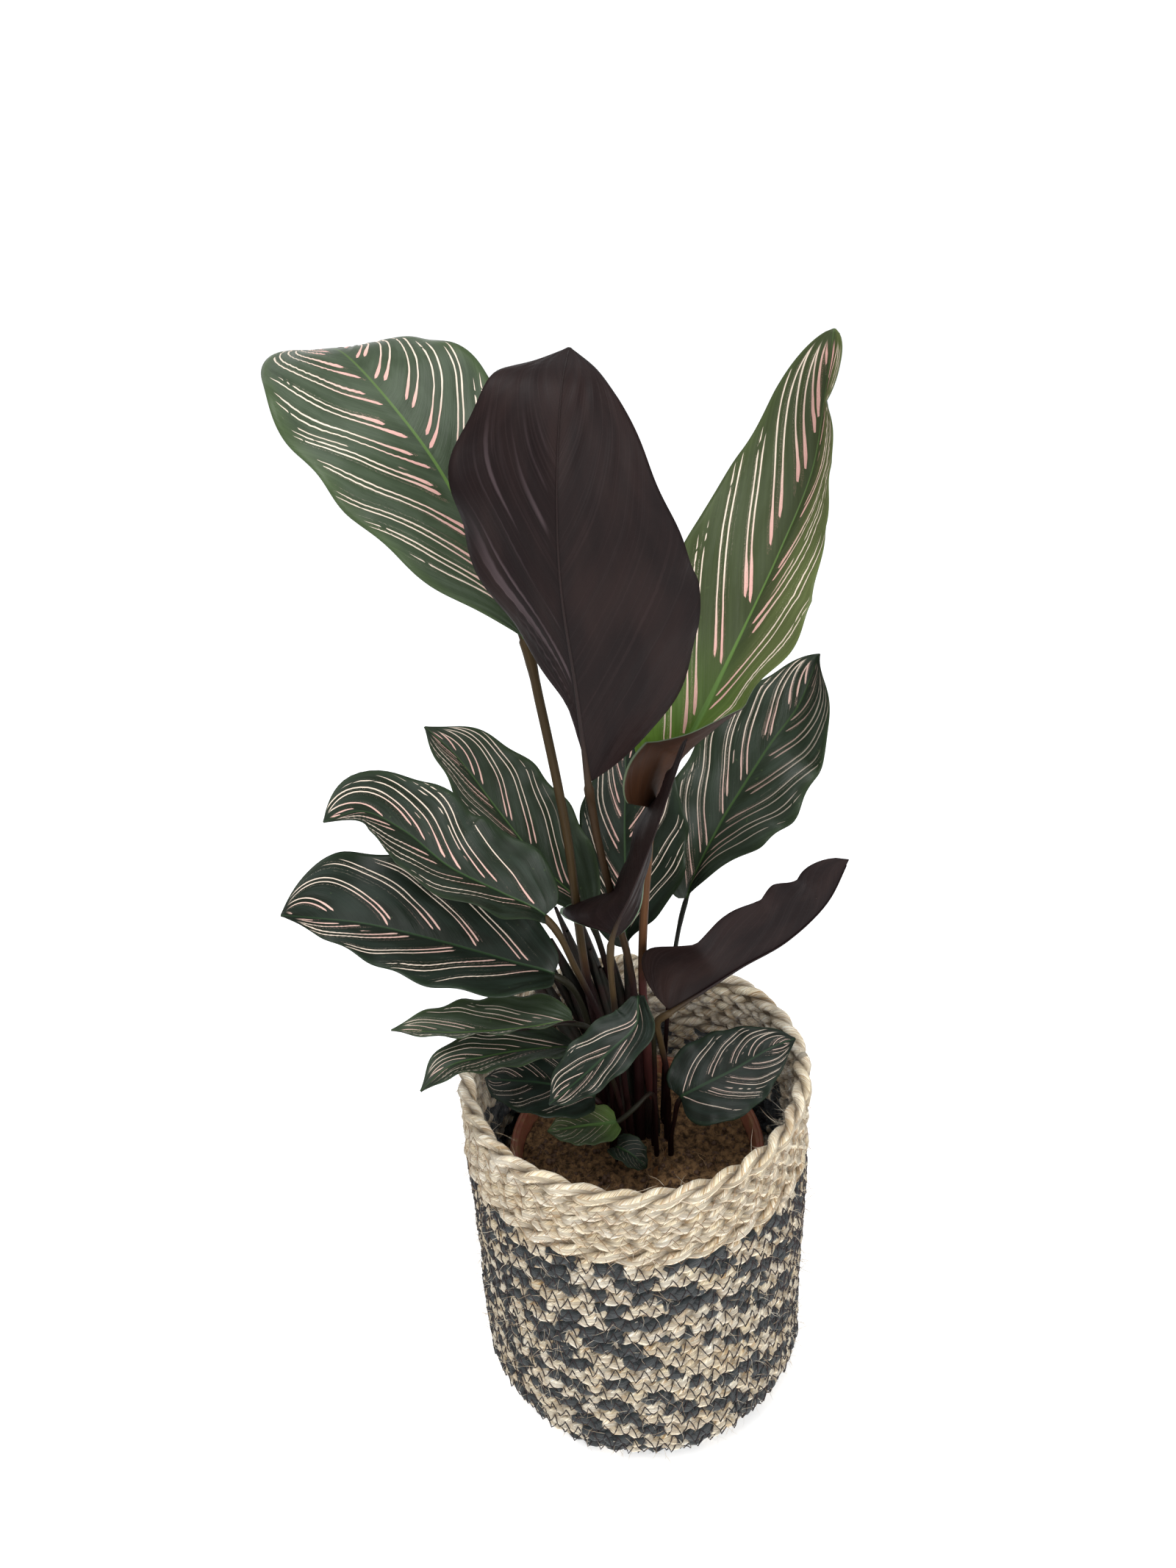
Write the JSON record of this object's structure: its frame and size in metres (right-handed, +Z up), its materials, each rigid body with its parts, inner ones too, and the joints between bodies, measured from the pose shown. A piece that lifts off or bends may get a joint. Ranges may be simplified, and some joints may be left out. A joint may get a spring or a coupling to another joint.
{
  "type": "pinstripe calathea in a basket",
  "caption": "Pinstripe foliage plant in a nursery pot that stands in a coiled jute basket with a plain film liner.",
  "frame": {"origin": "centre of the basket's underside", "axes": "+Z up along the basket's axis, -Y towards the plant's front"},
  "size_m": [0.3131, 0.2307, 0.6459],
  "materials": {
    "jute_natural": "coarse plaited fibre, undyed",
    "jute_dyed": "coarse plaited fibre, dyed charcoal in patches over straw",
    "liner_film": "thin clear film",
    "pot_plastic": "moulded terracotta-coloured plastic",
    "coir": "loose fibrous growing medium",
    "leaf": "satin leaf, pink stripes above and purple-brown below"
  },
  "bodies": {
    "root": {"basket_wall": "jute_dyed", "basket_base": "jute_dyed", "basket_band": "jute_natural", "liner": "liner_film", "nursery_pot": "pot_plastic", "soil": "coir", "leaf_upper_left": "leaf", "leaf_tall_dark": "leaf", "leaf_upper_right": "leaf", "leaf_right_middle": "leaf", "leaf_right_dark": "leaf", "leaf_centre_funnel": "leaf", "leaf_centre_back": "leaf", "leaf_left_back": "leaf", "leaf_left_middle": "leaf", "leaf_left_low": "leaf", "leaf_left_rim_upper": "leaf", "leaf_left_rim_lower": "leaf", "leaf_inside_left": "leaf", "leaf_front_small": "leaf", "leaf_right_small": "leaf", "leaf_front_low": "leaf", "leaf_front_hanging": "leaf"}
  },
  "joints": []
}
